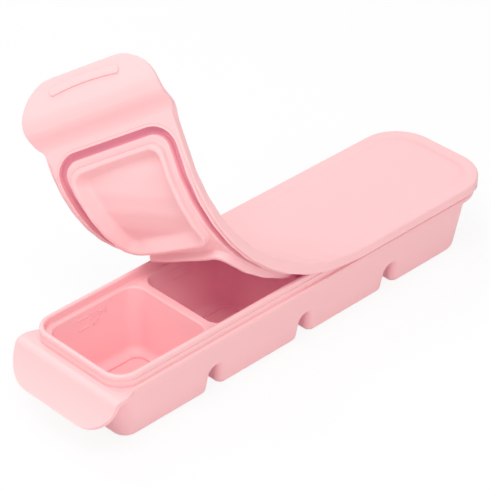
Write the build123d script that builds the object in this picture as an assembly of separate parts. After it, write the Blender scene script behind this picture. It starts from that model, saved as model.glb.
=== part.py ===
from build123d import *
from math import cos, radians, sin, tan
import os

os.makedirs("parts", exist_ok=True)

# Baby food freezer tray: a four-cup silicone tray and its peel-off silicone lid, lid peeled
# back from the tongue end. Millimetres. X runs along the tray, the tongue end is at -X, the
# base underside is z = 0 and the tray is centred on Y = 0. Positions along X are given from the
# tray's middle, and everything is written out with its origin under one cup.

# ---- cups ----
CUP_COUNT = 4
CUP_PITCH = 56.0
ORIGIN_CUP = 2             # cup whose underside holds the origin, counted from 0 at the tongue end
DIVIDER_TOP = 4.4          # ledge width left between two cup mouths
MOUTH_WIDTH = 49.4         # cup mouth across the tray
MOUTH_RADIUS = 7.0
FLOOR_LENGTH = 43.6        # cup floor along the tray
FLOOR_WIDTH = 40.0
FLOOR_RADIUS = 6.0
FLOOR_Z = 2.6              # inside floor level
FLOOR_FILLET = 4.0
MOUTH_FILLET = 0.9
RECESS_LENGTH = 38.6       # shallow recess in each cup floor
RECESS_WIDTH = 32.0
RECESS_RADIUS = 5.0
RECESS_DEPTH = 1.1

# ---- measuring marks on the far wall of each cup ----
MARK_LENGTH = 5.9
MARK_TALL = 0.5
MARK_PROUD = 0.25
MARK_START = 17.5          # from the mouth end of the cup to the start of a mark
MARK_UPPER_DROP = 3.6      # below the ledge, 50 ml
MARK_LOWER_DROP = 8.5      # below the ledge, 40 ml

# ---- tray levels and rim ----
LEDGE_Z = 33.7             # ledge around the cup mouths
LEDGE_SIDE = 2.0           # ledge width beside the cups
LEDGE_END = 3.0            # ledge width past the end cups
RIM_TOP_Z = 38.0
RIM_THICK = 2.2
RIM_RADIUS = 8.4           # inside plan corner of the rim
GROOVE_DEPTH = 0.3         # two grooves on the outside of the rim
GROOVE_TALL = 1.1
GROOVE_UPPER_Z = 35.4
GROOVE_LOWER_Z = 32.3

# ---- tray outside ----
BASE_LENGTH = 218.0
BASE_WIDTH = 47.8
BASE_RADIUS = 7.5
BASE_FAR_RADIUS = 12.0     # plan corners of the last cup
SHOULDER_FAR_RADIUS = 13.5
BASE_FILLET = 3.6
LIP_Z = 29.5               # lip underside
LIP_THICK = 2.1
LIP_SIDE_REACH = 1.1       # how far the lip goes past the rim beside the cups
LIP_FAR_REACH = 5.5        # how far the lip goes past the rim at the far end
LIP_FAR_RADIUS = 19.5
LIP_NEAR_REACH = 1.0       # and at the tongue end
LIP_NEAR_RADIUS = 6.0
SLOT_BASE = 6.3            # gap between cup bottoms, at the base
SLOT_CROWN = 5.0           # gap where the arch starts
SLOT_HEIGHT = 13.5
SLOT_FILLET = 4.0

# ---- tongue at the -X end of the tray ----
TONGUE_THICK = 2.1
TONGUE_FLARE = 2.5         # how far it widens past the lip on each side
TONGUE_FLARE_RUN = 6.0     # length over which it widens from the lip
TONGUE_TIP_RADIUS = 16.5
TONGUE_BACKSET = 7.5       # how far inside the rim's end it starts
TONGUE_TOP_Z = 31.2
TONGUE_FLAT_RUN = 9.4      # level part before it turns down
TONGUE_BEND = 65.0         # degrees the tongue turns down
TONGUE_BEND_RADIUS = 2.6
TONGUE_RISE = 22.0         # degrees it turns back
TONGUE_RISE_RADIUS = 41.0

# ---- lid, given closed on the tray ----
LID_SIDE_WALL = 2.55       # border beside the rim's channel
LID_OVERHANG = 0.3         # lid past the lip at the far end
LID_FAR_RADIUS = 20.5
LID_END_WALL = 5.9         # border past the rim at the tab end
LID_NEAR_RADIUS = 4.0
LID_TOP_Z = 39.2
LID_BORDER_DROP = 5.2      # thick border, top to underside
LID_EDGE_FILLET = 1.0
PANEL_INSET = 7.0          # soft raised panel on the lid top
PANEL_RAISE = 0.6
PANEL_NEAR_RADIUS = 10.5
RIM_CLEAR_SIDE = 0.75      # channel beside the rim
RIM_CLEAR_TOP = 0.3
LEDGE_CLEAR = 0.35         # lid band above the tray ledge
PLUG_CLEAR = 0.8           # plug ring inside the cup mouth, at the ledge
PLUG_DEPTH = 2.8           # plug ring below the ledge
PLUG_TAPER = 0.9           # how far the ring draws in on its way down
PLUG_RING = 2.2            # ring width at its bottom
PLUG_RADIUS = 6.2
RECESS_SLOPE = 2.0         # how far the pocket in the ring draws in on its way up
LID_SHEET = 2.3            # sheet over the pocket

# ---- pull tab ----
TAB_THICK = 2.4
TAB_FLARE = 2.3            # how far it widens past the border on each side
TAB_FLARE_RUN = 12.0       # length over which it widens from the border
TAB_BACKSET = 8.4          # how far inside the border's end the tab starts to turn
TAB_DROP_TURN = 43.0       # degrees the tab turns down
TAB_DROP_RADIUS = 15.0
TAB_DROP_RUN = 4.1         # straight length of the drop
TAB_LIFT_TURN = 61.3       # degrees it turns back up
TAB_LIFT_RADIUS = 11.0
TAB_TIP_RUN = 12.9         # straight length to the tip
TAB_TIP_RADIUS = 20.0
GRIP_LENGTH = 35.0
GRIP_WIDTH = 3.8
GRIP_RAISE = 0.8
GRIP_FROM_TIP = 6.2

# ---- how the lid bends back ----
HINGE_Z = 36.8             # neutral layer of the sheet
HINGE_FIRST_X = 7.35       # first and last bend line on the tray's centre line
HINGE_LAST_X = -100.7
HINGE_SKEW_FIRST = 36.0    # degrees the bend lines are turned from square
HINGE_SKEW_LAST = 17.4
BEND_ANGLES = (6.2, 7.4, 8.5, 9.3, 9.8, 10.2, 10.8, 11.4, 12.1, 12.9, 13.7)
BEND_OVER = 1.25           # the lid can be bent this much past the pose shown
KERF = 0.36                # gap between neighbouring lid strips
TAB_FLEX_UP = 35.0
TAB_FLEX_DOWN = 10.0
TAB_KERF_RUN = 2.0         # from the end of the first turn to the tab's bend line

# ---- sizes that follow ----
MOUTH_LENGTH = CUP_PITCH - DIVIDER_TOP
CUP_XS = [CUP_PITCH * (i - (CUP_COUNT - 1) / 2) for i in range(CUP_COUNT)]
ORIGIN_X = CUP_XS[ORIGIN_CUP]
RIM_IN_LENGTH = CUP_PITCH * (CUP_COUNT - 1) + MOUTH_LENGTH + 2 * LEDGE_END
RIM_IN_WIDTH = MOUTH_WIDTH + 2 * LEDGE_SIDE
RIM_OUT_LENGTH = RIM_IN_LENGTH + 2 * RIM_THICK
RIM_OUT_WIDTH = RIM_IN_WIDTH + 2 * RIM_THICK
RIM_OUT_RADIUS = RIM_RADIUS + RIM_THICK
LIP_WIDTH = RIM_OUT_WIDTH + 2 * LIP_SIDE_REACH
LIP_FAR_X = RIM_OUT_LENGTH / 2 + LIP_FAR_REACH
TONGUE_WIDTH = LIP_WIDTH + 2 * TONGUE_FLARE
TONGUE_START_X = -RIM_OUT_LENGTH / 2 + TONGUE_BACKSET
LID_WIDTH = RIM_OUT_WIDTH + 2 * (RIM_CLEAR_SIDE + LID_SIDE_WALL)
LID_FAR_X = LIP_FAR_X + LID_OVERHANG
LID_NEAR_X = -RIM_OUT_LENGTH / 2 - LID_END_WALL
TAB_START_X = LID_NEAR_X + TAB_BACKSET
TAB_WIDTH = LID_WIDTH + 2 * TAB_FLARE
LID_BORDER_Z = LID_TOP_Z - LID_BORDER_DROP
BAND_Z = LEDGE_Z + LEDGE_CLEAR
CHANNEL_TOP_Z = RIM_TOP_Z + RIM_CLEAR_TOP
PLUG_Z = LEDGE_Z - PLUG_DEPTH
POCKET_Z = LID_TOP_Z - LID_SHEET
HINGE_COUNT = len(BEND_ANGLES)
REACH = LID_WIDTH          # cutters run well past the part


def slab(length, width, radius, z_low, z_high, x=0.0):
    """Upright block with rounded plan corners."""
    plan = Pos(x, 0, z_low) * RectangleRounded(length, width, radius)
    return extrude(plan, z_high - z_low)


def frustum(low, high, x=0.0):
    """Drafted block between two plans, each given as (length, width, radius, z)."""
    faces = [Pos(x, 0, z) * RectangleRounded(l, w, r) for l, w, r, z in (low, high)]
    return loft(faces, ruled=True)


def ends_slab(x_low, x_high, width, r_low, r_high, z_low, z_high):
    """Block whose two ends have their own plan corner radii."""
    middle = (x_low + x_high) / 2
    span = x_high - x_low
    near = slab(span, width, r_low, z_low, z_high, middle)
    far = slab(span, width, r_high, z_low, z_high, middle)
    half = Pos(middle - span / 2, 0, (z_low + z_high) / 2) * Box(span, 2 * width, z_high - z_low)
    return (near & half) + (far - half)


def ends_frustum(low, high, far_low_radius, far_high_radius):
    """Drafted block whose +X end has its own plan corner radii."""
    near = frustum(low, high)
    far = frustum((low[0], low[1], far_low_radius, low[3]), (high[0], high[1], far_high_radius, high[3]))
    half = Pos(-high[0] / 2, 0, (low[3] + high[3]) / 2) * Box(high[0], 2 * high[1], high[3] - low[3])
    return (near & half) + (far - half)


def flared_block(x_root, root_width, x_wide, width):
    """Tall block that widens from its root and then runs on towards -X."""
    x_end = x_root - REACH
    wedge = make_face(Polyline((x_root, -root_width / 2), (x_wide, -width / 2), (x_end, -width / 2),
                               (x_end, width / 2), (x_wide, width / 2), (x_root, root_width / 2),
                               close=True))
    return extrude(wedge, REACH, both=True)


def tip_block(tip, heading, width, radius):
    """Block square to a sheet that rounds the corners of the sheet's tip."""
    plane = Plane(origin=tip, x_dir=(heading.X, 0, -heading.Y), z_dir=(heading.Y, 0, heading.X))
    outline = Pos(REACH, 0, 0) * RectangleRounded(2 * REACH, width, radius)
    return extrude(plane * outline, REACH, both=True)


def run_edges(turns):
    """Straights and arcs joined in a row, with the end point and the end direction."""
    edges = []
    point, heading = Vector(0, 0), Vector(1, 0)
    for run, turn, radius in turns:
        if run > 0:
            line = Line(point, point + heading * run)
            edges.append(line)
            point = line @ 1
        if turn != 0:
            arc = JernArc(point, heading, radius, -turn)
            edges.append(arc)
            point, heading = arc @ 1, arc % 1
    return edges, point, heading


def bent_strip(start, turns, width, thick):
    """Sheet of even thickness that follows straights and arcs in the XZ plane towards -X.

    turns is a list of (straight run, turn in degrees, radius); a turn above zero goes down."""
    plane = Plane(origin=start, x_dir=(-1, 0, 0), z_dir=(0, 1, 0))
    edges, point, heading = run_edges(turns)
    path = plane * Wire(edges)
    section = Plane(origin=start, x_dir=(0, 1, 0), z_dir=(-1, 0, 0)) * Rectangle(width, thick)
    return sweep(section, path=path), Vector(start[0] - point.X, 0, start[2] + point.Y), heading


def try_fillet(solid, edges, radius):
    """Round the edges, or leave them square where the round would not fit."""
    try:
        return fillet(edges, radius)
    except (ValueError, RuntimeError):
        return solid


# ==================================================== tray
def tray_cavity(x):
    mouth = (MOUTH_LENGTH, MOUTH_WIDTH, MOUTH_RADIUS, LEDGE_Z)
    floor = (FLOOR_LENGTH, FLOOR_WIDTH, FLOOR_RADIUS, FLOOR_Z)
    cavity = frustum(floor, mouth, x)
    floor_edges = cavity.edges().group_by(Axis.Z)[0]
    cavity = try_fillet(cavity, floor_edges, FLOOR_FILLET)
    recess = slab(RECESS_LENGTH, RECESS_WIDTH, RECESS_RADIUS, FLOOR_Z - RECESS_DEPTH, FLOOR_Z + 1, x)
    return cavity + recess


def tray_marks(x):
    """Two raised lines on the far wall of one cup."""
    slope = (MOUTH_WIDTH - FLOOR_WIDTH) / 2 / (LEDGE_Z - FLOOR_Z)
    marks = []
    for drop in (MARK_UPPER_DROP, MARK_LOWER_DROP):
        wall_y = MOUTH_WIDTH / 2 - drop * slope
        middle_x = x - MOUTH_LENGTH / 2 + MARK_START + MARK_LENGTH / 2
        deep = 4 * MARK_PROUD
        marks.append(Pos(middle_x, wall_y - MARK_PROUD + deep / 2, LEDGE_Z - drop)
                     * Box(MARK_LENGTH, deep, MARK_TALL))
    return marks


def slot_cutter(x):
    """Arched gap across the tray between two cup bottoms."""
    spring = SLOT_HEIGHT - SLOT_CROWN / 2
    with BuildSketch(Plane.XZ) as profile:
        with BuildLine():
            crown = ThreePointArc((SLOT_CROWN / 2, spring), (0, SLOT_HEIGHT), (-SLOT_CROWN / 2, spring))
            Polyline(crown @ 1, (-SLOT_BASE / 2, 0), (-SLOT_BASE / 2, -1),
                     (SLOT_BASE / 2, -1), (SLOT_BASE / 2, 0), crown @ 0)
        make_face()
    return Pos(x, 0, 0) * extrude(profile.sketch, LIP_WIDTH, both=True)


def build_tray():
    base = (BASE_LENGTH, BASE_WIDTH, BASE_RADIUS, 0)
    shoulder = (RIM_OUT_LENGTH - 2 * LEDGE_END, RIM_OUT_WIDTH, RIM_OUT_RADIUS - LEDGE_END / 2,
                LIP_Z + LIP_THICK / 2)
    body = ends_frustum(base, shoulder, BASE_FAR_RADIUS, SHOULDER_FAR_RADIUS)
    slot_xs = [x + CUP_PITCH / 2 for x in CUP_XS[:-1]]
    slots = [slot_cutter(x) for x in slot_xs]
    body = body - slots
    corners = [e for e in body.edges() if abs(e.center().Y) > BASE_WIDTH / 2 - 1
               and abs(e.tangent_at(0.5).Y) < 0.9 and e.center().Z < SLOT_HEIGHT + 1
               and e.center().Z > 0.1 and any(abs(e.center().X - s) < SLOT_BASE for s in slot_xs)]
    body = try_fillet(body, corners, SLOT_FILLET)
    bottom = body.faces().filter_by(GeomType.PLANE).group_by(Axis.Z)[0].edges()
    body = try_fillet(body, bottom, BASE_FILLET)

    lip = ends_slab(-RIM_OUT_LENGTH / 2 - LIP_NEAR_REACH, LIP_FAR_X, LIP_WIDTH, LIP_NEAR_RADIUS, LIP_FAR_RADIUS,
                    LIP_Z, LIP_Z + LIP_THICK)
    lip = try_fillet(lip, lip.edges().group_by(Axis.Z)[-1], LIP_THICK / 3)

    rim = slab(RIM_OUT_LENGTH, RIM_OUT_WIDTH, RIM_OUT_RADIUS, LIP_Z, RIM_TOP_Z)
    inner = slab(RIM_IN_LENGTH, RIM_IN_WIDTH, RIM_RADIUS, LEDGE_Z, RIM_TOP_Z)
    rim = rim - inner
    rim = try_fillet(rim, rim.edges().group_by(Axis.Z)[-1], RIM_THICK * 0.45)
    for z in (GROOVE_UPPER_Z, GROOVE_LOWER_Z):
        outside = slab(RIM_OUT_LENGTH + 4, RIM_OUT_WIDTH + 4, RIM_OUT_RADIUS + 2,
                       z - GROOVE_TALL / 2, z + GROOVE_TALL / 2)
        kept = slab(RIM_OUT_LENGTH - 2 * GROOVE_DEPTH, RIM_OUT_WIDTH - 2 * GROOVE_DEPTH,
                    RIM_OUT_RADIUS - GROOVE_DEPTH, z - GROOVE_TALL, z + GROOVE_TALL)
        rim = rim - (outside - kept)

    turns = [(TONGUE_FLAT_RUN, TONGUE_BEND, TONGUE_BEND_RADIUS), (0, -TONGUE_RISE, TONGUE_RISE_RADIUS)]
    strip, tip, heading = bent_strip((TONGUE_START_X, 0, TONGUE_TOP_Z - TONGUE_THICK / 2), turns,
                                     TONGUE_WIDTH, TONGUE_THICK)
    plan = flared_block(TONGUE_START_X, LIP_WIDTH, TONGUE_START_X - TONGUE_FLARE_RUN, TONGUE_WIDTH)
    tongue = strip & plan & tip_block(tip, heading, TONGUE_WIDTH, TONGUE_TIP_RADIUS)
    inside = slab(BASE_LENGTH, BASE_WIDTH, BASE_RADIUS, 0, LIP_Z)

    tray = body + lip + rim + (tongue - inside)
    tray = tray - [tray_cavity(x) for x in CUP_XS]
    mouths = [e for e in tray.edges() if abs(e.center().Z - LEDGE_Z) < 0.01
              and e.bounding_box().max.Y < RIM_IN_WIDTH / 2 - LEDGE_SIDE / 2
              and e.bounding_box().min.Y > -RIM_IN_WIDTH / 2 + LEDGE_SIDE / 2
              and abs(e.center().X) < RIM_IN_LENGTH / 2 - LEDGE_END / 2]
    tray = try_fillet(tray, mouths, MOUTH_FILLET)
    for x in CUP_XS:
        tray = tray + tray_marks(x)
    return tray


# ==================================================== lid, closed
def tab_turns(offset):
    """Turns of the pull tab for a line that runs offset above its middle layer."""
    return [(0, TAB_DROP_TURN, TAB_DROP_RADIUS + offset), (TAB_DROP_RUN, 0, 0),
            (0, -TAB_LIFT_TURN, TAB_LIFT_RADIUS - offset), (TAB_TIP_RUN, 0, 0)]


def above_tab():
    """The space over the tab's upper face, out to past its tip."""
    plane = Plane(origin=(TAB_START_X, 0, LID_TOP_Z), x_dir=(-1, 0, 0), z_dir=(0, 1, 0))
    edges, point, _ = run_edges(tab_turns(TAB_THICK / 2))
    corners = Polyline(point, (point.X, REACH), (0, REACH), (0, 0))
    face = plane * make_face(edges + corners.edges())
    return extrude(face, REACH, both=True)


def lid_border():
    border = ends_slab(LID_NEAR_X, LID_FAR_X, LID_WIDTH, LID_NEAR_RADIUS, LID_FAR_RADIUS,
                       LID_BORDER_Z, LID_TOP_Z)
    border = try_fillet(border, border.edges().group_by(Axis.Z)[-1], LID_EDGE_FILLET)
    return border - above_tab()


def lid_tab():
    """S-shaped pull tab with the grip bar under its tip."""
    start = (TAB_START_X, 0, LID_TOP_Z - TAB_THICK / 2)
    strip, tip, heading = bent_strip(start, tab_turns(0), TAB_WIDTH, TAB_THICK)
    plan = flared_block(TAB_START_X, LID_WIDTH, TAB_START_X - TAB_FLARE_RUN, TAB_WIDTH)
    along = Vector(-heading.X, 0, heading.Y)
    up = Vector(heading.Y, 0, heading.X)
    seat = tip - along * GRIP_FROM_TIP
    grip_plane = Plane(origin=seat, x_dir=(0, 1, 0), z_dir=-up)
    grip = extrude(grip_plane * SlotOverall(GRIP_LENGTH, GRIP_WIDTH), TAB_THICK / 2 + GRIP_RAISE)
    return (strip & plan & tip_block(tip, heading, TAB_WIDTH, TAB_TIP_RADIUS)) + grip


def lid_plug(x):
    """Plug ring for one cup, still filled in."""
    tall = BAND_Z - PLUG_Z
    low = (MOUTH_LENGTH - 2 * (PLUG_CLEAR + PLUG_TAPER), MOUTH_WIDTH - 2 * (PLUG_CLEAR + PLUG_TAPER),
           PLUG_RADIUS - PLUG_TAPER, PLUG_Z)
    high = (MOUTH_LENGTH - 2 * PLUG_CLEAR, MOUTH_WIDTH - 2 * PLUG_CLEAR, PLUG_RADIUS, PLUG_Z + tall)
    return frustum(low, high, x)


def lid_pocket(x):
    """Hollow inside one plug ring."""
    inset = 2 * (PLUG_CLEAR + PLUG_TAPER + PLUG_RING)
    low = (MOUTH_LENGTH - inset, MOUTH_WIDTH - inset, PLUG_RADIUS - PLUG_TAPER / 2, PLUG_Z)
    high = (low[0] - 2 * RECESS_SLOPE, low[1] - 2 * RECESS_SLOPE, PLUG_RADIUS - PLUG_TAPER / 2, POCKET_Z)
    return frustum(low, high, x)


def build_lid():
    panel = ends_slab(TAB_START_X + PANEL_INSET / 2, LID_FAR_X - PANEL_INSET, LID_WIDTH - 2 * PANEL_INSET,
                      PANEL_NEAR_RADIUS, LID_FAR_RADIUS - PANEL_INSET / 2,
                      LID_TOP_Z - 1, LID_TOP_Z + PANEL_RAISE)
    panel = try_fillet(panel, panel.edges().group_by(Axis.Z)[-1], PANEL_RAISE * 0.8)
    outer = slab(RIM_OUT_LENGTH + 2 * RIM_CLEAR_SIDE, RIM_OUT_WIDTH + 2 * RIM_CLEAR_SIDE,
                 RIM_OUT_RADIUS + RIM_CLEAR_SIDE, LID_BORDER_Z - 1, CHANNEL_TOP_Z)
    inner = slab(RIM_IN_LENGTH - 2 * RIM_CLEAR_SIDE, RIM_IN_WIDTH - 2 * RIM_CLEAR_SIDE,
                 RIM_RADIUS - RIM_CLEAR_SIDE, LID_BORDER_Z - 2, CHANNEL_TOP_Z + 1)
    under_band = slab(RIM_IN_LENGTH, RIM_IN_WIDTH, RIM_RADIUS, LID_BORDER_Z - 1, BAND_Z)
    lid = lid_border() + panel + lid_tab()
    lid = lid - (outer - inner) - under_band
    lid = lid + [lid_plug(x) for x in CUP_XS]
    return lid - [lid_pocket(x) for x in CUP_XS]


# ==================================================== lid, bent back
def hinge_x(k):
    return HINGE_FIRST_X + (HINGE_LAST_X - HINGE_FIRST_X) * k / (HINGE_COUNT - 1)


def hinge_skew(k):
    return radians(HINGE_SKEW_FIRST + (HINGE_SKEW_LAST - HINGE_SKEW_FIRST) * k / (HINGE_COUNT - 1))


def hinge_axis(k):
    a = hinge_skew(k)
    return Axis((hinge_x(k), 0, HINGE_Z), (-sin(a), cos(a), 0))


def kerf_cutter(plane, half_up, half_down):
    """Thin slot through the lid that opens at the given half angles above and below its middle."""
    wide_up = KERF / 2 + REACH * tan(radians(half_up))
    wide_down = KERF / 2 + REACH * tan(radians(half_down))
    face = plane * make_face(Polyline((-KERF / 2, 0), (-wide_up, REACH), (wide_up, REACH), (KERF / 2, 0),
                                      (wide_down, -REACH), (-wide_down, -REACH), close=True))
    return extrude(face, 2 * REACH, both=True)


def bend_cutter(k):
    a = hinge_skew(k)
    plane = Plane(origin=(hinge_x(k), 0, HINGE_Z), x_dir=(cos(a), sin(a), 0), z_dir=(sin(a), -cos(a), 0))
    return kerf_cutter(plane, BEND_ANGLES[k] * BEND_OVER / 2, 0)


def tab_cutter():
    turn = radians(TAB_DROP_TURN)
    x = TAB_START_X - TAB_DROP_RADIUS * sin(turn) - TAB_KERF_RUN * cos(turn)
    z = LID_TOP_Z - TAB_THICK / 2 - TAB_DROP_RADIUS * (1 - cos(turn)) - TAB_KERF_RUN * sin(turn)
    plane = Plane(origin=(x, 0, z), x_dir=(cos(turn), 0, sin(turn)), z_dir=(0, -1, 0))
    near = Pos(x, 0, z) * Box(5 * TAB_THICK, 2 * REACH, 5 * TAB_THICK)
    return kerf_cutter(plane, TAB_FLEX_UP / 2, TAB_FLEX_DOWN / 2) & near


def bend_back(piece, hinges):
    """Carry a strip of the closed lid to its place in the bent lid."""
    for k in reversed(range(hinges)):
        piece = piece.rotate(hinge_axis(k), BEND_ANGLES[k])
    return piece


def export(shape, name):
    export_step(Pos(-ORIGIN_X, 0, 0) * shape, f"parts/{name}.step")


export(build_tray(), "tray")
cut_lid = build_lid() - [bend_cutter(k) for k in range(HINGE_COUNT)] - tab_cutter()
strips = sorted(cut_lid.solids(), key=lambda s: -s.center().X)
strip_names = ["lid_seated"] + [f"lid_strip_{k + 1:02d}" for k in range(HINGE_COUNT)] + ["lid_tab"]
for i, name in enumerate(strip_names):
    export(bend_back(strips[i], min(i, HINGE_COUNT)), name)
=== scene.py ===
"""Baby food freezer tray in matte pink silicone, its lid peeled back from the tongue end.

The tray is the CAD node itself. The lid is one mesh, built closed and flat, bent back over the
CAD's own bend lines and then split into pieces that take the place of the CAD's lid strips.
Sizes are millimetres from the tray's middle unless a name says otherwise.
"""

import math

import bpy
import numpy as np
from mathutils import Matrix, Vector

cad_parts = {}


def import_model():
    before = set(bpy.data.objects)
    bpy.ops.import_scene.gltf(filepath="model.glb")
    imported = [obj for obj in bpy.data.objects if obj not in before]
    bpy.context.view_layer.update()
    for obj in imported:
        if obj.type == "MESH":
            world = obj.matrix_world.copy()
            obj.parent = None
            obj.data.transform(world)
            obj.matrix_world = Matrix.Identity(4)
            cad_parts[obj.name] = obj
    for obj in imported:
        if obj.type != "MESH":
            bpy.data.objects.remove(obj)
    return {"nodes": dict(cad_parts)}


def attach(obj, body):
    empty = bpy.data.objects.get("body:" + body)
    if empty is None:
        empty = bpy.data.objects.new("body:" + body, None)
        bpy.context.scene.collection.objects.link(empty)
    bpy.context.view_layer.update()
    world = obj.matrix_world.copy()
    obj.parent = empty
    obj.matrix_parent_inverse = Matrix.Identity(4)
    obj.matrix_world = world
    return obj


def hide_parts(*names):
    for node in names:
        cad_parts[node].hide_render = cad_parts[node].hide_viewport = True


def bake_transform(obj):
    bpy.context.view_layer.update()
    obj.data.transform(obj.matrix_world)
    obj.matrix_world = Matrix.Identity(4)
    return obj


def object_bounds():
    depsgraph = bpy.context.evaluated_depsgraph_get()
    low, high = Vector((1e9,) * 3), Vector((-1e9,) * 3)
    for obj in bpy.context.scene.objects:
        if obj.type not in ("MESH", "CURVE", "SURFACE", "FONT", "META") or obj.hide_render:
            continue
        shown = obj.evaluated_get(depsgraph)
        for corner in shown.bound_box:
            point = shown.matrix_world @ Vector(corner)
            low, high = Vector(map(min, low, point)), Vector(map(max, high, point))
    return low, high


MM = 0.001
ORIGIN_X = 28.0            # the row frame's origin, along the tray from its middle

# ---- tray ----
CUP_XS = (-84.0, -28.0, 28.0, 84.0)
MOUTH_HALF = 24.7          # half width of a cup at its mouth
FLOOR_HALF = 20.0          # half width of a cup at its floor
FLOOR_Z = 2.6
LEDGE_Z = 33.7

DIGITS = (("50ml", 6.2), ("40", 9.9))   # and how far below the ledge they stand
DIGIT_SIZE = 5.0
DIGIT_PROUD = 0.2
DIGIT_THINNED = 0.02       # taken off their strokes all round
DIGIT_FROM = -0.9          # their start along the cup, from its middle

# ---- lid, closed: its border and the panel inside it ----
LID_HALF = 32.2
LID_FAR_X = 120.8
LID_FAR_RADIUS = 20.5
LID_TOP_Z = 39.2
LID_UNDER_Z = 34.0
EDGE_ROUND = 1.0
EDGE_ANGLES = np.radians((18, 36, 54, 72, 90))
EDGE_MIDDLE_Z = 36.4
UNDER_ROUND = 0.6
UNDER_ANGLES = np.radians((0, 30, 60, 90))
PANEL_STEPS = (            # (distance from the lid's outline, height over its edge) across the top
    (28, 0.6), (24, 0.6), (20, 0.6), (16, 0.6), (13, 0.6), (11, 0.59), (9.8, 0.54), (8.8, 0.42),
    (7.9, 0.22), (7.1, 0.0), (6.3, -0.14), (5.4, -0.2), (4.4, -0.16), (3.4, -0.08), (2.4, -0.02),
    (1.6, 0.0))
TAB_X = -112.5             # where the tab starts, on the lid's top
TAB_UNDER_X = -118.4       # and on its underside
NEAR_RADIUS = 4.0          # of the lid's two corners beside the tab
NEAR_RADIUS_GROWTH = 1.5   # added to it for each millimetre in from the edge's rounding
PANEL_RADIUS = 13.0        # and the radius at which that growth stops
PANEL_RADIUS_FALL = 0.35   # less this for each millimetre in
LEAST_RADIUS = 0.6         # of the far corners, on the innermost rings
MOST_RADIUS_SHARE = 0.9    # the most that a corner takes of its ring's half width

# ---- channel for the rim, with a bead and a groove around it ----
CHANNEL_OUT = (115.75, 29.65, 11.35)    # half length, half width, plan corner
CHANNEL_IN = (112.05, 25.95, 7.65)
CHANNEL_TOP_Z = 38.3
CHANNEL_MIDDLE_Z = 36.0
CHANNEL_ROUND = 0.6
BAND_Z = 34.05
BAND_ROUND = 0.5
ROUND_SHARE = 0.3          # of a rounding's size, where the middle of its quarter turn lies
BEAD_STEPS = (             # (distance out from the channel's outer wall, height) over its bead
    (1.4, 34.0), (1.12, 34.02), (0.98, 34.2), (0.86, 34.26), (0.74, 34.2), (0.62, 34.0),
    (0.4, 33.88), (0.1, 33.86), (-0.14, 33.92), (-0.26, 34.1), (-0.2, 34.4), (0.0, 34.8))

# ---- plug ring over each cup ----
PLUG = (25.0, 23.9, 6.2)   # half length, half width and plan corner where it leaves the band
PLUG_CORNER_FALL = 0.45    # taken off that corner for each millimetre in
PLUG_LEAST_CORNER = 0.5
PLUG_STEPS = (             # (inset from there, height) over the ring and into its pocket
    (-0.45, 34.05), (-0.15, 33.96), (0.0, 33.65), (0.22, 32.7), (0.42, 31.8), (0.58, 31.35),
    (0.85, 31.03), (1.25, 30.9), (1.75, 30.88), (2.2, 30.95), (2.55, 31.15), (2.78, 31.5),
    (3.1, 32.1), (3.6, 33.15), (4.1, 34.2), (4.6, 35.15), (5.05, 35.85), (5.6, 36.4),
    (6.3, 36.73), (7.2, 36.87), (8.4, 36.9), (10.5, 36.9), (13.0, 36.9), (16.0, 36.9),
    (19.0, 36.9), (21.5, 36.9), (23.9, 36.9))

# ---- pull tab ----
TAB_THICK = 2.4
TAB_HALF = 34.5
TAB_FLARE_RUN = 12.0
TAB_DROP, TAB_DROP_RUN = math.radians(43.0), 11.26
TAB_LIFT, TAB_LIFT_AT, TAB_LIFT_RUN = math.radians(61.3), 15.36, 11.77
TAB_LENGTH = 40.03
TAB_FOLD_END = 15.0        # along the tab, where the soft fold from the lid's underside ends
TAB_TIP_RADIUS = 20.0
TAB_TIP_ANGLES = np.radians(np.arange(0, 80, 7.5))
TAB_EDGE = 1.0
TAB_EDGE_ANGLES = np.radians((0, 30, 55, 78))
TAB_STEP, TAB_LEAST_STEP = 0.75, 0.2        # between the tab's loops
TAB_LINE_POINTS = 1641
TAB_HINGE_FROM, TAB_HINGE_TO = 9.8, 16.8    # along the tab, the stretch whose bent ends blend_ends gives for the tab

GRIP_HALF, GRIP_HALF_WIDTH = 17.5, 1.9
GRIP_STEPS = (             # (inset, height over the tab's face), from its sunk underside to its top
    (1.9, -0.4), (0.0, -0.4), (0.0, 0.45), (0.12, 0.66), (0.35, 0.8), (0.9, 0.8), (1.9, 0.8))
GRIP_FROM_TIP = 5.6
GRIP_ARCH = 1.3            # how far its ends lie behind its middle

# ---- bend lines ----
HINGE_Z = 36.8
HINGE_XS = np.linspace(7.35, -100.7, 11)
HINGE_SKEWS = np.radians(np.linspace(36.0, 17.4, 11))
BEND_ANGLES = np.radians((6.2, 7.4, 8.5, 9.3, 9.8, 10.2, 10.8, 11.4, 12.1, 12.9, 13.7))
HINGE_GAP = HINGE_XS[0] - HINGE_XS[1]
BEND_SHARE = 0.44          # how much of the gap to each side a bend takes up

# ---- stations: where the lid's rings have their points ----
CORNER_SHARE = 0.15        # share of a cell's side that lies on each half corner
CORNER_STEPS, STRAIGHT_STEPS = 5, 18
CELL_EDGES = (-56.0, 0.0, 56.0)
STATION_DIGITS = 9         # decimals to which stations count as the same
WELD_DIGITS = 3            # decimals of a millimetre to which points count as the same

# ---- studio ----
LAMP_SIZE, LAMP_REACH = 0.6, 1.3        # metres
LAMPS = {                  # azimuth and height in degrees, watts
    "key": (205, 62, 6.5),
    "side": (262, 36, 3.8),
    "low": (158, 36, 2.6),
    "front": (228, 8, 1.0),
    "back": (92, 50, 4.2),
    "top": (45, 75, 1.1)}
SKY = 0.35
FLOOR_REACH, FLOOR_GAP = 4.0, 0.0002    # metres, out to its sides and down from the tray
FLOOR_COLOUR = (0.9, 0.88, 0.88, 1)
FLOOR_WHITE = 0.88         # the share of plain white over the floor's own shading

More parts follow.
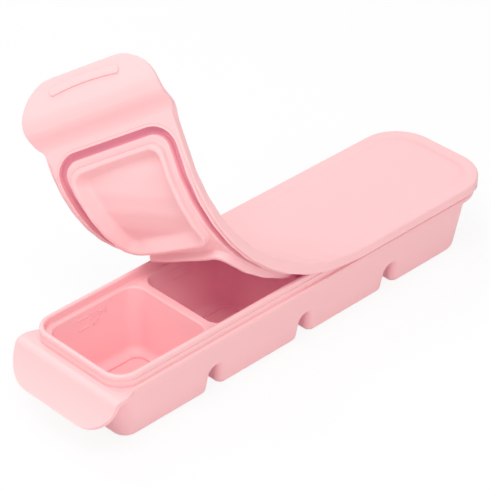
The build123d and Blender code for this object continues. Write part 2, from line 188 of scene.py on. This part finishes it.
# ---- silicone ----
PINK = (0.915, 0.553, 0.543, 1)
PAINTED_SHADE_PINK = (0.82, 0.40, 0.46, 1)       # painted shade down in the lid's channel
CHANNEL_SHADE_FADE = (35.4, 38.0)             # heights between which the pink turns into the painted shade
CHANNEL_SLACK = 0.1
ROUGHNESS, IOR = 0.5, 1.41
# painted light: a faint red emission that stands for light passing through the silicone's walls
PAINTED_GLOW = (1.0, 0.0, 0.5, 1)
PAINTED_GLOW_STRENGTH = 0.042

# ---- camera: focal length in image widths, angles in radians, the tray's middle before it ----
FOCAL = 4.66164
SENSOR = 36
CLIP_NEAR, CLIP_FAR = 0.05, 20          # metres
YAW, PITCH, ROLL = 0.796110, 0.596617, 0.003070
MIDDLE_BEFORE = (9.5283, -7.4231, 1034.5556)
MIDDLE_Z = 29.5
HALF_PIXEL = 0.5 / 490


# ==================================================== helpers
def smooth(t):
    """Smoothstep: 3t^2 - 2t^3, with t held between 0 and 1."""
    t = np.clip(t, 0.0, 1.0)
    return t * t * (3 - 2 * t)


def running_sum(values, step):
    """Integral of evenly spaced values up to each of them, by the trapezium rule."""
    return np.concatenate([[0], np.cumsum((values[1:] + values[:-1]) / 2)]) * step


def at_height(ring, z):
    """A plan ring's points at one height."""
    return np.column_stack([ring, np.full(len(ring), z)])


def to_row(points):
    """Millimetres from the tray's middle to the row frame's metres."""
    return (np.asarray(points, float) - np.array([ORIGIN_X, 0, 0])) * MM


def grid_faces(rows, columns):
    """Quads of a closed grid: rows go outward or down, columns run round counter-clockwise."""
    i, j = (index.ravel() for index in np.indices((rows - 1, columns)))
    after = (j + 1) % columns
    return np.stack([i * columns + j, (i + 1) * columns + j,
                     (i + 1) * columns + after, i * columns + after], 1)


# ==================================================== stations
def side_shares():
    """Shares along a cell's side: evenly over each half corner and over the straight between."""
    return np.unique(np.round(np.concatenate([
        np.linspace(0, CORNER_SHARE, CORNER_STEPS + 1),
        np.linspace(CORNER_SHARE, 1 - CORNER_SHARE, STRAIGHT_STEPS + 1),
        np.linspace(1 - CORNER_SHARE, 1, CORNER_STEPS + 1)]), STATION_DIGITS))


def long_shares():
    """Shares along the lid's long sides that fall in with the cells' own stations."""
    straight_end = CHANNEL_IN[0] - CHANNEL_IN[2]
    part = SIDE[CORNER_STEPS:]
    share = (part - part[0]) / (1 - part[0])
    near = -straight_end + (CELL_EDGES[0] + straight_end) * share
    cells = [a + (b - a) * SIDE for a, b in zip(CELL_EDGES, CELL_EDGES[1:])]
    xs = np.unique(np.round(np.concatenate([near, *cells, -near]), STATION_DIGITS))
    return (xs + straight_end) / (2 * straight_end)


SIDE = side_shares()
LONG = long_shares()
END = (SIDE[CORNER_STEPS:-CORNER_STEPS] - CORNER_SHARE) / (1 - 2 * CORNER_SHARE)
TURN = np.linspace(0, 1, 2 * CORNER_STEPS + 1)[1:-1]

# columns of a lid ring in the middle of its near corners, at +Y and at -Y
NEAR_START = 2 * len(LONG) + 2 * len(TURN) + len(END) + CORNER_STEPS - 1
NEAR_STOP = NEAR_START + 2 * CORNER_STEPS + len(END) - 1


# ==================================================== rings
def corner(cx, cy, radius, start, square=False):
    """Inner points of a quarter turn from angle start, about (cx, cy).

    They lie at (cos, sin) times the radius, or, on a square corner, evenly along its two legs."""
    angle = math.radians(start) + TURN * math.pi / 2
    x, y = np.cos(angle), np.sin(angle)
    if square:
        larger = np.maximum(np.abs(x), np.abs(y))
        along = np.minimum(np.minimum(TURN, 1 - TURN) * 2, 1)
        x = np.where(np.abs(x) == larger, np.sign(x), np.sign(x) * along)
        y = np.where(np.abs(y) == larger, np.sign(y), np.sign(y) * along)
    return np.stack([cx + radius * x, cy + radius * y], 1)


def lid_ring(x_lo, x_hi, half, r_lo, r_hi, square=False):
    """Rounded rectangle around the lid, counter-clockwise from above.

    Every size has the same stations. The radii are those of its near and its far corners, and
    square makes the near ones square."""
    xs = x_lo + r_lo + (x_hi - r_hi - x_lo - r_lo) * LONG
    ys_hi = (half - r_hi) * (2 * END - 1)
    ys_lo = (half - r_lo) * (2 * END - 1)
    return np.concatenate([
        np.stack([xs, np.full_like(xs, -half)], 1),
        corner(x_hi - r_hi, -half + r_hi, r_hi, -90),
        np.stack([np.full_like(ys_hi, x_hi), ys_hi], 1),
        corner(x_hi - r_hi, half - r_hi, r_hi, 0),
        np.stack([xs[::-1], np.full_like(xs, half)], 1),
        corner(x_lo + r_lo, half - r_lo, r_lo, 90, square),
        np.stack([np.full_like(ys_lo, x_lo), ys_lo[::-1]], 1),
        corner(x_lo + r_lo, -half + r_lo, r_lo, 180, square)])


def offset_ring(base, out, z):
    """Ring that runs outside a channel wall by out."""
    length, half, radius = base
    radius += out
    return at_height(lid_ring(-length - out, length + out, half + out, radius, radius), z)


def cell_side(length, r_start, r_end):
    """Distances along one side of a cell and in from it, from corner middle to corner middle.

    Where it turns into a corner of radius r by an angle a, a point lies r sin(a) past the straight
    part's end and r (1 - cos(a)) in."""
    shares = SIDE[:-1]
    start = CORNER_SHARE if r_start > 0 else 0.0
    end = 1 - CORNER_SHARE if r_end > 0 else 1.0
    before = np.radians(45) * np.maximum((start - shares) / CORNER_SHARE, 0)
    after = np.radians(45) * np.maximum((shares - end) / CORNER_SHARE, 0)
    along = np.interp(shares, [start, end], [r_start, length - r_end])
    along += r_end * np.sin(after) - r_start * np.sin(before)
    inset = r_start * (1 - np.cos(before)) + r_end * (1 - np.cos(after))
    return along, inset


def cell_ring(x_lo, x_hi, half, r_lo, r_hi):
    """Rounded rectangle around a cell, counter-clockwise from above."""
    length, width = x_hi - x_lo, 2 * half
    along, inset = cell_side(length, r_lo, r_hi)
    front = np.stack([x_lo + along, -half + inset], 1)
    along, inset = cell_side(width, r_hi, r_hi)
    right = np.stack([x_hi - inset, -half + along], 1)
    along, inset = cell_side(length, r_hi, r_lo)
    back = np.stack([x_hi - along, half - inset], 1)
    along, inset = cell_side(width, r_lo, r_lo)
    left = np.stack([x_lo + inset, half - along], 1)
    return np.concatenate([front, right, back, left])


# ==================================================== flat lid
def near_x(z):
    """Near end of the lid's edge at a height, along the slanted joint with the tab."""
    return TAB_X + (TAB_UNDER_X - TAB_X) * (LID_TOP_Z - z) / (LID_TOP_Z - LID_UNDER_Z)


def panel_rows():
    """Rings over the lid's top, from its middle line to where its edge starts to round.

    Each is the lid's outline moved in by its inset, at its rise over the edge's height."""
    middle = lid_ring(TAB_X + LID_HALF - EDGE_ROUND, LID_FAR_X - LID_HALF, 0, 0, 0)
    rows = [at_height(middle, LID_TOP_Z + PANEL_STEPS[0][1])]
    for inset, rise in (*PANEL_STEPS, (EDGE_ROUND, 0.0)):
        past_round = inset - EDGE_ROUND
        half = LID_HALF - inset
        most = MOST_RADIUS_SHARE * half
        near = min(NEAR_RADIUS + NEAR_RADIUS_GROWTH * past_round,
                   PANEL_RADIUS - PANEL_RADIUS_FALL * inset, most)
        far = min(max(LID_FAR_RADIUS - inset, LEAST_RADIUS), most)
        ring = lid_ring(TAB_X + past_round, LID_FAR_X - inset, half, near, far, past_round == 0)
        rows.append(at_height(ring, LID_TOP_Z + rise))
    return rows


def edge_rows():
    """Rings down the lid's edge, whose top and bottom are quarter circles.

    At angle a the upper one is in by r (1 - sin(a)) and down by r (1 - cos(a)), and the lower one
    the other way round."""
    steps = [
        *zip(EDGE_ROUND * (1 - np.sin(EDGE_ANGLES)),
             LID_TOP_Z - EDGE_ROUND * (1 - np.cos(EDGE_ANGLES))),
        (0, EDGE_MIDDLE_Z),
        *zip(UNDER_ROUND * (1 - np.cos(UNDER_ANGLES)),
             LID_UNDER_Z + UNDER_ROUND * (1 - np.sin(UNDER_ANGLES)))]
    return [at_height(lid_ring(near_x(z), LID_FAR_X - inset, LID_HALF - inset, NEAR_RADIUS,
                               LID_FAR_RADIUS - inset, square=True), z) for inset, z in steps]


def channel_rows():
    """Rings under the lid: over the bead, up the channel's outer wall and down to the band."""
    top, r, band = CHANNEL_TOP_Z, CHANNEL_ROUND, BAND_ROUND
    mid_r, mid_band = ROUND_SHARE * r, ROUND_SHARE * band
    outer = (*BEAD_STEPS, (0, CHANNEL_MIDDLE_Z), (0, top - r), (-mid_r, top - mid_r), (-r, top))
    inner = ((r, top), (mid_r, top - mid_r), (0, top - r), (0, CHANNEL_MIDDLE_Z),
             (0, BAND_Z + band), (-mid_band, BAND_Z + mid_band), (-band, BAND_Z))
    return ([offset_ring(CHANNEL_OUT, out, z) for out, z in outer]
            + [offset_ring(CHANNEL_IN, out, z) for out, z in inner])


def cell_rows(index):
    """Rings of one cell, from the band's edge over the plug ring to the middle of its pocket."""
    cup_x = CUP_XS[index]
    length, half, radius = (size - BAND_ROUND for size in CHANNEL_IN)
    edges = (-length, *CELL_EDGES, length)
    r_lo = radius if index == 0 else 0
    r_hi = radius if index == len(CUP_XS) - 1 else 0
    rows = [at_height(cell_ring(edges[index], edges[index + 1], half, r_lo, r_hi), BAND_Z)]
    for inset, z in PLUG_STEPS:
        hx, hy = PLUG[0] - inset, PLUG[1] - inset
        r = max(PLUG[2] - PLUG_CORNER_FALL * inset, PLUG_LEAST_CORNER)
        r = min(r, MOST_RADIUS_SHARE * hy)
        rows.append(at_height(cell_ring(cup_x - hx, cup_x + hx, hy, r, r), z))
    return rows


# ==================================================== tab
def tab_line(s):
    """Middle line of the tab at distance s: x, z and heading.

    The heading drops and then lifts, each by its angle times a smoothstep, and x and z are the
    running sums of its cosine and sine."""
    fine = np.linspace(0, TAB_LENGTH, TAB_LINE_POINTS)
    step = fine[1] - fine[0]
    drop = TAB_DROP * smooth(fine / TAB_DROP_RUN)
    angle = TAB_LIFT * smooth((fine - TAB_LIFT_AT) / TAB_LIFT_RUN) - drop
    x = TAB_X - running_sum(np.cos(angle), step)
    z = LID_TOP_Z - TAB_THICK / 2 + running_sum(np.sin(angle), step)
    return np.interp(s, fine, x), np.interp(s, fine, z), np.interp(s, fine, angle)


def tab_sides(s):
    """Upper and lower (x, z) of the tab at distances s.

    Up to the fold's end the lower one is a parabola from the lid's underside to the tab's own:
    with t running from 0 to 1 it is (1-t)^2 start + 2t(1-t) crossing + t^2 end, where the crossing
    is the point in which the two end directions meet."""
    x, z, angle = tab_line(s)
    middle = np.stack([x, z], -1)
    half = np.stack([np.sin(angle), np.cos(angle)], -1) * TAB_THICK / 2
    x, z, angle = tab_line(TAB_FOLD_END)
    end = np.array([x - math.sin(angle) * TAB_THICK / 2, z - math.cos(angle) * TAB_THICK / 2])
    start = np.array([TAB_UNDER_X, LID_UNDER_Z])
    crossing = np.array([end[0] - (LID_UNDER_Z - end[1]) / math.tan(angle), LID_UNDER_Z])
    t = np.clip(s / TAB_FOLD_END, 0, 1)[:, None]
    fold = (1 - t) ** 2 * start + 2 * t * (1 - t) * crossing + t ** 2 * end
    return middle + half, np.where(t < 1, fold, middle - half)


def tab_loops(hole):
    """Loops that start on the hole in the lid's near edge and run out to the tab's tip.

    At distance s the half width is W = LID_HALF + flare * smooth(s / run), and past the start s0 of
    the tip's corners it is W - r + sqrt(r^2 - (s - s0)^2). Over the tip's rounded edge, at e sin(a)
    from its start, a loop's thickness shrinks to cos(a) of itself and W by e (1 - cos(a))."""
    tip_start = TAB_LENGTH - TAB_TIP_RADIUS
    corners = tip_start + TAB_TIP_RADIUS * np.sin(TAB_TIP_ANGLES)
    ends = TAB_LENGTH - TAB_EDGE + TAB_EDGE * np.sin(TAB_EDGE_ANGLES)
    corners = corners[corners < ends[0] - TAB_LEAST_STEP]
    stations = np.concatenate([np.arange(0, tip_start, TAB_STEP), corners, ends])
    shrink = np.ones(len(stations))
    shrink[-len(ends):] = np.cos(TAB_EDGE_ANGLES)

    top, low = tab_sides(stations)
    middle = (top + low) / 2
    top = middle + (top - middle) * shrink[:, None]
    low = middle + (low - middle) * shrink[:, None]
    share = (LID_TOP_Z - hole[:, 2]) / (LID_TOP_Z - LID_UNDER_Z)
    xz = top[:, None] + (low - top)[:, None] * share[:, None]

    half = LID_HALF + (TAB_HALF - LID_HALF) * smooth(stations / TAB_FLARE_RUN)
    into = np.clip(stations - tip_start, 0, TAB_TIP_RADIUS)
    half += np.sqrt(TAB_TIP_RADIUS ** 2 - into ** 2) - TAB_TIP_RADIUS
    half -= TAB_EDGE * (1 - shrink)
    y = hole[:, 1] * half[:, None] / LID_HALF

    loops = np.stack([xz[..., 0], y, xz[..., 1]], -1)
    loops[0] = hole
    return loops


def tip_faces(across, down):
    """Quads that close the last loop: across between its top and bottom, and a fan at each side.

    The loop runs over the top, down one side, back along the bottom and up the other side, with
    that many points across and between them. A fan's quads repeat a corner."""
    top = np.arange(across)
    low = across + down + top[::-1]
    faces = [np.stack([top[:-1], low[:-1], low[1:], top[1:]], 1)]
    first_side = np.arange(top[-1], low[-1] + 1)
    second_side = np.r_[np.arange(low[0], low[0] + down + 1), 0]
    for side in (first_side, second_side):
        a, b = side[1:-1], side[2:]
        faces.append(np.stack([np.full_like(a, side[0]), b, a, a], 1))
    return np.concatenate(faces)


def grip_bar():
    """Points and quads of the raised bar under the tab's tip, its underside sunk into the tab.

    Rings around the bar at each step's inset and height. They bend back by the arch times the
    square of their place across, as a share of the bar's half length."""
    rows = []
    for inset, height in GRIP_STEPS:
        half, width = GRIP_HALF - inset, GRIP_HALF_WIDTH - inset
        rows.append(at_height(cell_ring(-half, half, width, width, width), height))
    local = np.concatenate(rows)
    local[:, 1] += GRIP_ARCH * (local[:, 0] / GRIP_HALF) ** 2
    x, z, angle = tab_line(TAB_LENGTH - GRIP_FROM_TIP)
    across = np.array([0, 1, 0])
    back = np.array([math.cos(angle), 0, -math.sin(angle)])
    down = np.array([-math.sin(angle), 0, -math.cos(angle)])
    seat = np.array([x, 0, z]) + down * TAB_THICK / 2
    points = seat + local @ np.array([across, back, down])
    return points, grid_faces(len(rows), len(rows[0]))[:, ::-1]


# ==================================================== the whole lid
def border_and_tab():
    """Patches of the lid's top, edge and channel, with its near edge left open, and of the tab."""
    panel, edge = panel_rows(), edge_rows()
    rows = np.array([*panel, *edge, *channel_rows()])
    edge_first = len(panel) - 1
    edge_last = edge_first + len(edge)
    is_open = np.zeros((len(rows) - 1, rows.shape[1]), bool)
    is_open[edge_first:edge_last, NEAR_START:NEAR_STOP] = True
    quads = grid_faces(*rows.shape[:2])[~is_open.ravel()]

    across = np.arange(NEAR_START, NEAR_STOP + 1)
    down = np.arange(edge_first + 1, edge_last)
    hole = np.concatenate([rows[edge_first, across], rows[down, NEAR_STOP],
                           rows[edge_last, across[::-1]], rows[down[::-1], NEAR_START]])
    loops = tab_loops(hole)
    last_loop = (len(loops) - 1) * len(hole)
    tab_quads = np.concatenate([grid_faces(*loops.shape[:2]),
                                last_loop + tip_faces(len(across), len(down))])
    return [(rows.reshape(-1, 3), quads), (loops.reshape(-1, 3), tab_quads)]


def flat_lid():
    """Points and quads of the closed lid, with neighbouring patches welded."""
    patches = border_and_tab()
    for index in range(len(CUP_XS)):
        rows = cell_rows(index)
        patches.append((np.concatenate(rows), grid_faces(len(rows), len(rows[0]))))
    patches.append(grip_bar())
    return weld(patches)


def weld(patches):
    """Joins patches and merges points that lie within a micrometre of each other."""
    first, points, quads = 0, [], []
    for patch_points, patch_quads in patches:
        points.append(patch_points)
        quads.append(patch_quads + first)
        first += len(patch_points)
    merged, index = np.unique(np.round(np.concatenate(points), WELD_DIGITS), axis=0,
                              return_inverse=True)
    quads = index.reshape(-1)[np.concatenate(quads)]
    used, index = np.unique(quads, return_inverse=True)
    return merged[used], index.reshape(quads.shape)


def bend(flat):
    """Bends flat points back over the bend lines.

    For each line from the last to the first, points turn about it by an angle a, which is the
    line's own times a smoothstep of their flat distance past it: p, taken from the line, becomes
    p cos(a) + (axis x p) sin(a) + axis (axis . p) (1 - cos(a))."""
    out = flat.copy()
    for x, skew, angle in reversed(list(zip(HINGE_XS, HINGE_SKEWS, BEND_ANGLES))):
        reach = BEND_SHARE * HINGE_GAP * math.cos(skew)
        past = (flat[:, 0] - x) * math.cos(skew) + flat[:, 1] * math.sin(skew)
        turn = angle * smooth((reach - past) / (2 * reach))
        axis = np.array([-math.sin(skew), math.cos(skew), 0])
        p = out - np.array([x, 0, HINGE_Z])
        c, s = np.cos(turn)[:, None], np.sin(turn)[:, None]
        out = out + p * (c - 1) + np.cross(axis, p) * s + axis * (p @ axis)[:, None] * (1 - c)
    return out


def past_ring(flat, base):
    """Distance of points past a rounded rectangle, negative inside it.

    With q = |p| - (half sizes - corner), it is the length of q's positive part, plus the larger of
    its two values where both are negative, less the corner."""
    length, half, radius = base
    q = np.abs(flat[:, :2]) - (np.array([length, half]) - radius)
    return np.linalg.norm(np.maximum(q, 0), axis=1) + np.minimum(q.max(1), 0) - radius


def channel_shade_mask(flat):
    """Mask of the painted shade in the channel: a smoothstep of the points' height, and 0 outside
    it.
    """
    low, high = CHANNEL_SHADE_FADE
    within = past_ring(flat, CHANNEL_IN) > -CHANNEL_SLACK
    within &= past_ring(flat, CHANNEL_OUT) < CHANNEL_SLACK
    within &= flat[:, 2] < CHANNEL_TOP_Z + CHANNEL_SLACK
    return np.where(within, smooth((flat[:, 2] - low) / (high - low)), 0)


# ==================================================== meshes
def point_normals(points, quads):
    """Normals at the points, each face weighing in with its area."""
    a, b, c, d = (points[quads[:, i]] for i in range(4))
    face = np.cross(c - a, d - b)
    normals = np.zeros_like(points)
    for i in range(4):
        np.add.at(normals, quads[:, i], face)
    return normals / np.maximum(np.linalg.norm(normals, axis=1, keepdims=True), 1e-12)


def plain_faces(quads):
    """Faces of quads that may repeat a corner: repeats are left out, and so is what has no area."""
    faces = []
    for quad in quads.tolist():
        face = [v for i, v in enumerate(quad) if v != quad[i - 1]]
        if len(set(face)) == len(face) > 2:
            faces.append(face)
    return faces


def make_sheet(name, points, quads, normals, depth):
    """Mesh object of one piece of the lid, from points in metres."""
    mesh = bpy.data.meshes.new(name)
    mesh.from_pydata(points.tolist(), [], plain_faces(quads))
    mesh.update()
    mesh.polygons.foreach_set("use_smooth", np.ones(len(mesh.polygons), bool))
    mesh.normals_split_custom_set_from_vertices(normals.tolist())
    # the mask of painted shade in the lid's channel
    mesh.attributes.new("channel_shade_mask", "FLOAT", "POINT").data.foreach_set("value", depth)
    sheet = bpy.data.objects.new(name, mesh)
    bpy.context.collection.objects.link(sheet)
    return sheet


def split_lines():
    """Lines between neighbouring bends, as (x on the tray's centre line, skew)."""
    middle = [((a + b) / 2, (p + q) / 2) for a, b, p, q in
              zip(HINGE_XS, HINGE_XS[1:], HINGE_SKEWS, HINGE_SKEWS[1:])]
    first = (HINGE_XS[0] + HINGE_GAP / 2, HINGE_SKEWS[0])
    last = (HINGE_XS[-1] - HINGE_GAP / 2, HINGE_SKEWS[-1])
    return [first, *middle, last]


def blend_ends(k):
    """Where bend k starts and ends in the bent lid; past the last bend line it is the tab's own."""
    if k < len(HINGE_XS):
        skew = HINGE_SKEWS[k]
        reach = BEND_SHARE * HINGE_GAP * math.cos(skew)
        across = np.array([math.cos(skew), math.sin(skew), 0])
        seat = np.array([HINGE_XS[k], 0, HINGE_Z])
        ends = np.stack([seat + reach * across, seat - reach * across])
    else:
        x, z, _ = tab_line(np.array([TAB_HINGE_FROM, TAB_HINGE_TO]))
        ends = np.stack([x, np.zeros(2), z], 1)
    return [tuple(p) for p in to_row(bend(ends))]


def make_lid(material):
    """Builds the lid and splits it between the bends; the seated piece is tied to its body, and the
    others are baked in place.
    """
    flat, quads = flat_lid()
    points = to_row(bend(flat))
    normals = point_normals(points, quads)
    # how much painted shade each point takes in the channel
    depth = channel_shade_mask(flat)
    centres = flat[quads].mean(1)
    piece_of = np.zeros(len(quads), int)
    for x, skew in split_lines():
        piece_of += (centres[:, 0] - x) * math.cos(skew) + centres[:, 1] * math.sin(skew) < 0
    bent = [f"lid_strip_{k:02d}" for k in range(1, len(HINGE_XS) + 1)]
    strips = ["lid_seated", *bent, "lid_tab"]
    for i, node in enumerate(strips):
        faces = quads[piece_of == i]
        used, index = np.unique(faces, return_inverse=True)
        piece = make_sheet(f"lid_sheet_{i:02d}", points[used], index.reshape(faces.shape),
                           normals[used], depth[used])
        piece.data.materials.append(material)
        if i == 0:
            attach(piece, node)
        else:
            start, end = blend_ends(i - 1)
            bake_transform(piece)
        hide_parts(node)


def digit_mesh(body):
    """Mesh of one number, flat in its own plane."""
    curve = bpy.data.curves.new("digits", "FONT")
    curve.body = body
    curve.size = DIGIT_SIZE
    curve.extrude = DIGIT_PROUD
    curve.offset = -DIGIT_THINNED
    text = bpy.data.objects.new("digits", curve)
    bpy.context.collection.objects.link(text)
    mesh = bpy.data.meshes.new_from_object(text)
    bpy.data.objects.remove(text)
    return mesh


def make_digits(material):
    """Raised numbers beside the fill marks, on the far wall of every cup."""
    lean = math.atan2(MOUTH_HALF - FLOOR_HALF, LEDGE_Z - FLOOR_Z)
    upright = Matrix.Rotation(math.pi / 2 - lean, 4, "X")
    for index, cup_x in enumerate(CUP_XS):
        for body, drop in DIGITS:
            wall_y = MOUTH_HALF - math.tan(lean) * drop
            seat = Matrix.Translation((cup_x + DIGIT_FROM - ORIGIN_X, wall_y, LEDGE_Z - drop))
            mesh = digit_mesh(body)
            mesh.transform(Matrix.Scale(MM, 4) @ seat @ upright)
            mesh.materials.clear()
            mesh.materials.append(material)
            obj = bpy.data.objects.new(f"tray_digits_{index + 1}_{body}", mesh)
            bpy.context.collection.objects.link(obj)
            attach(obj, "tray")


# ==================================================== materials
def silicone(name):
    """Matte silicone; a faint red emission, painted light, stands for the light that passes through
    its walls.
    """
    mat = bpy.data.materials.new(name)
    mat.use_nodes = True
    bsdf = mat.node_tree.nodes["Principled BSDF"]
    bsdf.inputs["Base Color"].default_value = PINK
    bsdf.inputs["Roughness"].default_value = ROUGHNESS
    bsdf.inputs["IOR"].default_value = IOR
    bsdf.inputs["Emission Color"].default_value = PAINTED_GLOW
    bsdf.inputs["Emission Strength"].default_value = PAINTED_GLOW_STRENGTH
    return mat


def paint_channel_shade(mat):
    """Paints shade into the lid's channel: mixes the silicone's colour towards a darker pink by the
    lid's mask of painted shade.
    """
    nodes, links = mat.node_tree.nodes, mat.node_tree.links
    depth = nodes.new("ShaderNodeAttribute")
    depth.attribute_name = "channel_shade_mask"
    mix = nodes.new("ShaderNodeMix")
    mix.data_type = "RGBA"
    factor, first, second, result = 0, 6, 7, 2      # the sockets that a colour mix uses
    mix.inputs[first].default_value = PINK
    mix.inputs[second].default_value = PAINTED_SHADE_PINK
    links.new(depth.outputs["Fac"], mix.inputs[factor])
    links.new(mix.outputs[result], nodes["Principled BSDF"].inputs["Base Color"])


# ==================================================== camera and studio
def make_camera():
    """Camera from its focal length, its angles and where the tray's middle lies before it."""
    along = np.array([math.cos(YAW), math.sin(YAW), 0])
    right = np.array([math.sin(YAW), -math.cos(YAW), 0])
    up_z = np.array([0, 0, 1.0])
    depth = math.cos(PITCH) * along - math.sin(PITCH) * up_z
    up = math.sin(PITCH) * along + math.cos(PITCH) * up_z
    rows = np.array([math.cos(ROLL) * right + math.sin(ROLL) * up,
                     -math.sin(ROLL) * right + math.cos(ROLL) * up, depth])
    data = bpy.data.cameras.new("camera")
    data.sensor_width = SENSOR
    data.lens = FOCAL * SENSOR
    data.shift_x, data.shift_y = -HALF_PIXEL, HALF_PIXEL
    data.clip_start, data.clip_end = CLIP_NEAR, CLIP_FAR
    turn = np.eye(4)
    turn[:3, :3] = np.stack([rows[0], rows[1], -rows[2]], 1)
    turn[:3, 3] = to_row(-rows.T @ np.array(MIDDLE_BEFORE) + np.array([0, 0, MIDDLE_Z]))
    camera = bpy.data.objects.new("camera", data)
    camera.matrix_world = Matrix(turn.tolist())
    bpy.context.collection.objects.link(camera)
    bpy.context.scene.camera = camera


def area_light(name, azimuth, height, power):
    """Square lamp that faces the tray's middle from an azimuth and a height in degrees."""
    data = bpy.data.lights.new(name, "AREA")
    data.size = LAMP_SIZE
    data.energy = power
    a, h = math.radians(azimuth), math.radians(height)
    toward = Vector((math.cos(h) * math.cos(a), math.cos(h) * math.sin(a), math.sin(h)))
    lamp = bpy.data.objects.new(name, data)
    lamp.location = toward * LAMP_REACH
    lamp.rotation_mode = "QUATERNION"
    lamp.rotation_quaternion = (-toward * LAMP_REACH).to_track_quat("-Z", "Y")
    bpy.context.collection.objects.link(lamp)


def white_to_camera(nodes, links, shader, out, white, share):
    """Shows the camera, and rays mirrored or let through, this share of white over the shader."""
    path = nodes.new("ShaderNodeLightPath")
    seen = path.outputs["Is Camera Ray"]
    for ray in ("Is Glossy Ray", "Is Transmission Ray"):
        either = nodes.new("ShaderNodeMath")
        either.operation = "MAXIMUM"
        links.new(seen, either.inputs[0])
        links.new(path.outputs[ray], either.inputs[1])
        seen = either.outputs[0]
    part = nodes.new("ShaderNodeMath")
    part.operation = "MULTIPLY"
    part.inputs[1].default_value = share
    links.new(seen, part.inputs[0])
    mix = nodes.new("ShaderNodeMixShader")
    links.new(part.outputs[0], mix.inputs[0])
    links.new(shader.outputs[0], mix.inputs[1])
    links.new(white.outputs[0], mix.inputs[2])
    links.new(mix.outputs[0], out.inputs["Surface"])


def make_floor(z):
    """Plain pale floor."""
    far = FLOOR_REACH
    corners = [(-far, -far, z), (far, -far, z), (far, far, z), (-far, far, z)]
    mesh = bpy.data.meshes.new("floor")
    mesh.from_pydata(corners, [], [(0, 1, 2, 3)])
    floor = bpy.data.objects.new("floor", mesh)
    bpy.context.collection.objects.link(floor)
    mat = bpy.data.materials.new("floor")
    mat.use_nodes = True
    nodes, links = mat.node_tree.nodes, mat.node_tree.links
    base = nodes["Principled BSDF"]
    base.inputs["Base Color"].default_value = FLOOR_COLOUR
    base.inputs["Roughness"].default_value = 1
    white = nodes.new("ShaderNodeEmission")
    white_to_camera(nodes, links, base, nodes["Material Output"], white, FLOOR_WHITE)
    mesh.materials.append(mat)


def make_world():
    """Even white light from all round, which the camera sees as plain white."""
    world = bpy.data.worlds.new("world")
    bpy.context.scene.world = world
    world.use_nodes = True
    nodes, links = world.node_tree.nodes, world.node_tree.links
    sky = nodes["Background"]
    sky.inputs["Color"].default_value = (1, 1, 1, 1)
    sky.inputs["Strength"].default_value = SKY
    white = nodes.new("ShaderNodeBackground")
    white.inputs["Color"].default_value = (1, 1, 1, 1)
    white_to_camera(nodes, links, sky, nodes["World Output"], white, 1.0)


def make_studio(base_z):
    """World, floor and lamps."""
    make_world()
    make_floor(base_z - FLOOR_GAP)
    for name, (azimuth, height, power) in LAMPS.items():
        area_light(name, azimuth, height, power)


def dress_tray(tray):
    """Gives the tray its silicone and its raised numbers."""
    material = silicone("tray_silicone")
    tray.data.materials.clear()
    tray.data.materials.append(material)
    make_digits(material)


def main():
    """Loads the CAD, dresses the tray, builds lid, camera and studio, and takes the CAD's box for
    the floor's height.
    """
    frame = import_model()
    bpy.context.scene.view_settings.view_transform = "Standard"
    cad_box = [list(corner_point) for corner_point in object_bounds()]
    dress_tray(frame["nodes"]["tray"])
    lid_material = silicone("lid_silicone")
    # paints shade into the lid's channel
    paint_channel_shade(lid_material)
    make_lid(lid_material)
    make_camera()
    make_studio(cad_box[0][2])


main()
